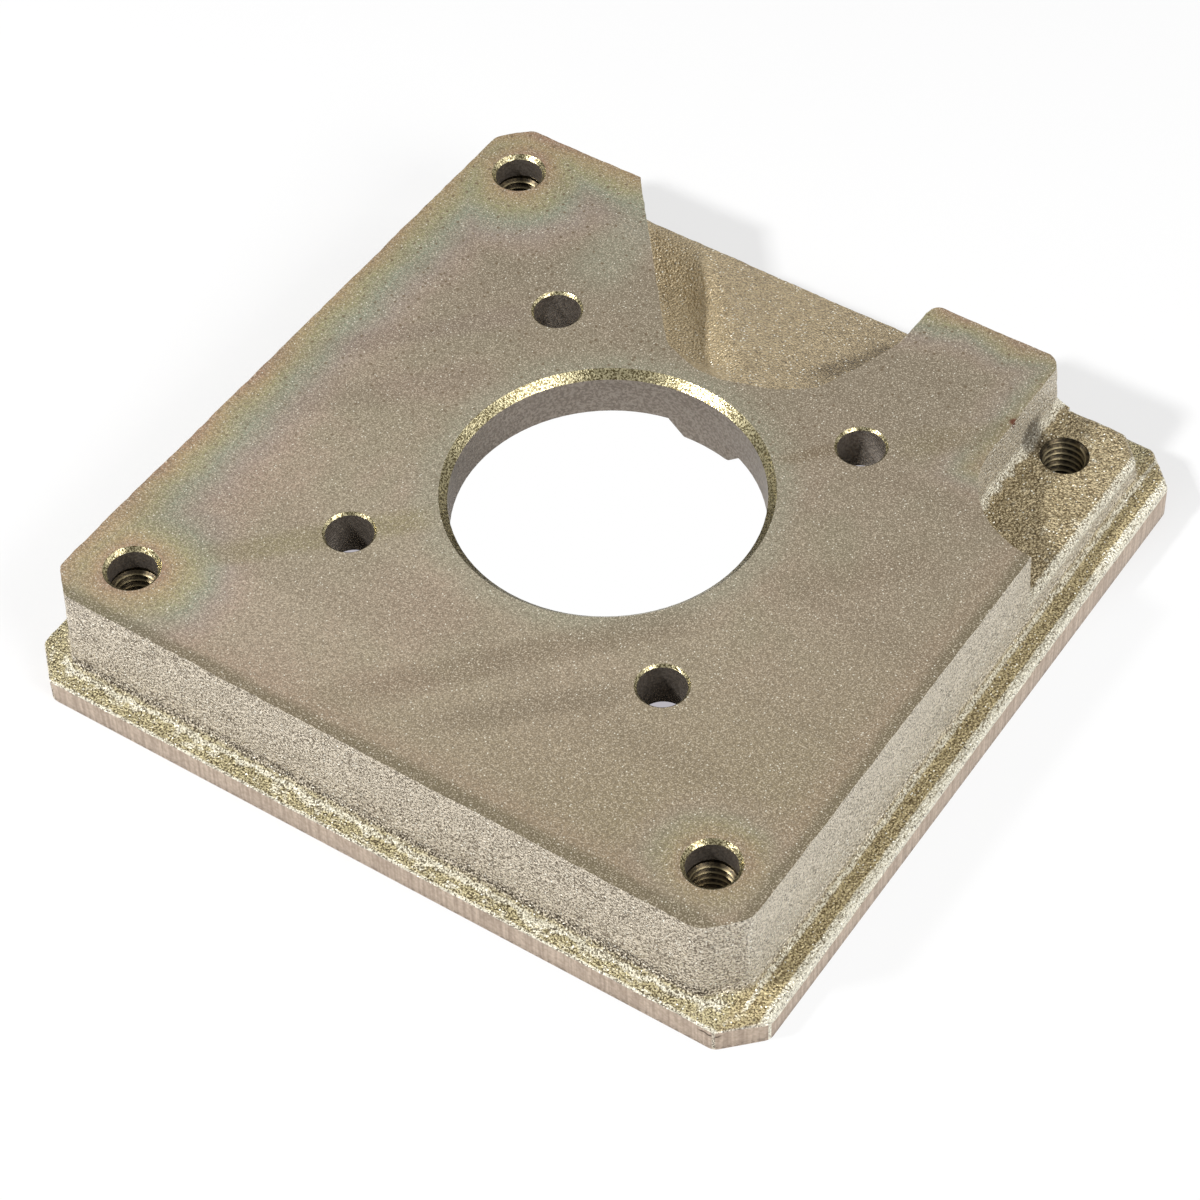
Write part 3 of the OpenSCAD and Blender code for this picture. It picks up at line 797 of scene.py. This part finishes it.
def makeFloor():
    bm = bmesh.new()
    bmesh.ops.create_grid(bm, x_segments=1, y_segments=1, size=studio["floorSize"] / 2)
    mesh = bpy.data.meshes.new("floor")
    bm.to_mesh(mesh)
    bm.free()
    floor = bpy.data.objects.new("floor", mesh)
    scene.collection.objects.link(floor)
    material = bpy.data.materials.new("paleFloor")
    material.use_nodes = True
    tree = material.node_tree
    tree.nodes.clear()
    matt = addNode(tree, "ShaderNodeBsdfDiffuse", {"Color": rgb(*studio["white"])})
    path = addNode(tree, "ShaderNodeLightPath")
    x, y = axesOf(tree, place(tree))[:2]
    fromMiddle = [unsigned(tree, minus(tree, v, middle * mm)) for v, middle in zip((x, y), casting["baseMiddle"])]
    cut = minus(tree, plus(tree, *fromMiddle), (casting["baseHalf"][0] - casting["baseCut"]) * mm)
    outside = grade(tree, larger(tree, larger(tree, *fromMiddle), cut), *studio["hollowEdge"])
    # painted shade: the ground's glow in the hollow is dim, apart from a painted pool of light on the patch that is
    # seen through the bore
    litX, litY = studio["litAt"]
    reach = fromAxis(tree, plus(tree, x, -litX * mm), minus(tree, y, litY * mm))
    lit = larger(tree, outside, grade(tree, reach, *studio["litReach"], 1, 0))
    glow = addNode(tree, "ShaderNodeEmission", {"Color": mixed(tree, lit, rgb(*studio["hollow"]), (1, 1, 1, 1)),
                                                "Strength": 1.0})
    mirrored = larger(tree, path.outputs["Is Glossy Ray"], path.outputs["Is Transmission Ray"])
    # painted light: the camera sees more of the glow at the right, where it washes out the ground's shadows, and less
    # at the left, where the ground keeps its shadows
    shown = grade(tree, minus(tree, x, times(tree, y, 0.5)), 34, 70, *studio["seenGlow"])
    shown = larger(tree, shown, minus(tree, 1.0, outside))
    seen = larger(tree, times(tree, path.outputs["Is Camera Ray"], shown), times(tree, mirrored, outside))
    mixShaders(tree, seen, matt, glow, "ShaderNodeOutputMaterial")
    mesh.materials.append(material)


def addSoftbox(name, way, power, size, distance):
    lamp = bpy.data.lights.new(name, "AREA")
    lamp.shape = "SQUARE"
    lamp.size = size
    lamp.energy = power
    holder = bpy.data.objects.new(name, lamp)
    scene.collection.objects.link(holder)
    way = Vector(way).normalized()
    holder.location = way * distance
    holder.rotation_mode = "QUATERNION"
    holder.rotation_quaternion = way.to_track_quat("Z", "Y")


def makeWorld():
    world = bpy.data.worlds.new("studio")
    scene.world = world
    world.use_nodes = True
    tree = world.node_tree
    tree.nodes.clear()
    # brighter at the back, where the milled top mirrors it
    way = addNode(tree, "ShaderNodeTexCoord").outputs["Generated"]
    facing = addNode(tree, "ShaderNodeVectorMath", {0: way, 1: studio["highWay"]}, operation="DOT_PRODUCT")
    level = ranged(tree, facing.outputs["Value"], 0.1, 0.95, studio["worldLow"], studio["worldHigh"])
    soft = addNode(tree, "ShaderNodeBackground", {"Color": (1, 1, 1, 1), "Strength": level})
    white = addNode(tree, "ShaderNodeBackground", {"Color": (1, 1, 1, 1), "Strength": 1.0})
    path = addNode(tree, "ShaderNodeLightPath")
    mixShaders(tree, path.outputs["Is Camera Ray"], soft, white, "ShaderNodeOutputWorld")


camera = {"turn": 35.1868, "rise": 49.0591, "roll": -2.223, "distance": 667.3,
          "aim": (14.065, -23.762, 25.4), "lens": 109.51}


def makeCamera():
    data = bpy.data.cameras.new("camera")
    data.sensor_width = 36
    data.lens = camera["lens"]
    data.clip_start, data.clip_end = 0.01, 10
    holder = bpy.data.objects.new("camera", data)
    scene.collection.objects.link(holder)
    turn, rise, roll = (radians(camera[k]) for k in ("turn", "rise", "roll"))
    back = Vector((sin(turn) * cos(rise), -cos(turn) * cos(rise), sin(rise)))
    right = Vector((cos(turn), sin(turn), 0))
    up = back.cross(right)
    right, up = cos(roll) * right + sin(roll) * up, -sin(roll) * right + cos(roll) * up
    where = (Vector(camera["aim"]) + back * camera["distance"]) * mm
    rows = Matrix((right, up, back)).transposed()
    holder.matrix_world = Matrix.Translation(where) @ rows.to_4x4()
    scene.camera = holder


print("studio")
makeFloor()
for name, (way, power, size, distance) in studio["boxes"].items():
    addSoftbox(name, way, power, size, distance)
makeWorld()
makeCamera()
